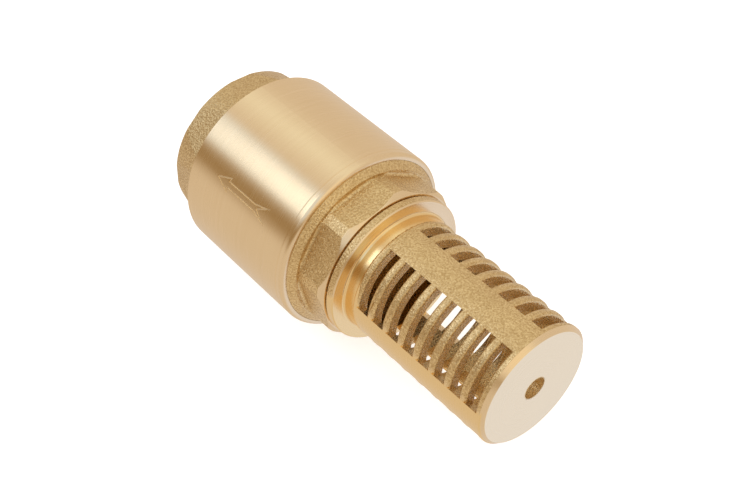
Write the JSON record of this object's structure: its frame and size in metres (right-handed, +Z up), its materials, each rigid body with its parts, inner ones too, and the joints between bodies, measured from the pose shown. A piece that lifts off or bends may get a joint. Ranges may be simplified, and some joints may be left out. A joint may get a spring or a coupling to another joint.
{
  "type": "foot valve",
  "caption": "Brass foot valve: spring check valve with a rolled cylindrical body, octagonal threaded ends and a slotted cylindrical strainer on its inlet.",
  "frame": {"origin": "on the valve's axis at the start of the outlet thread, 1.5 mm inside the outlet face", "axes": "+X along the axis from the outlet to the strainer's closed end, +Z up with the valve lying on its side"},
  "size_m": [0.1052, 0.048, 0.048],
  "materials": {
    "turned_brass": "satin turned",
    "cast_brass": "shot blasted casting",
    "inner_brass": "turned",
    "stainless": "drawn wire and turned",
    "nitrile": "moulded",
    "acetal": "machined"
  },
  "bodies": {
    "housing": {"body": "turned_brass", "inlet_connector": "cast_brass", "body_o_ring": "nitrile", "stem_guide": "inner_brass", "guide_bush": "acetal", "spring": "stainless", "strainer": "cast_brass"},
    "poppet": {"poppet": "inner_brass", "seat_seal": "nitrile", "seal_retainer": "inner_brass", "retainer_screw": "stainless"}
  },
  "joints": [
    {"name": "poppet_lift", "type": "slide", "parent": "housing", "child": "poppet", "axis": [-1, 0, 0], "range_m": [0, 0.0078], "stiffness_N_per_m": 350, "springref_m": -0.0034, "deforming": ["spring"]}
  ]
}
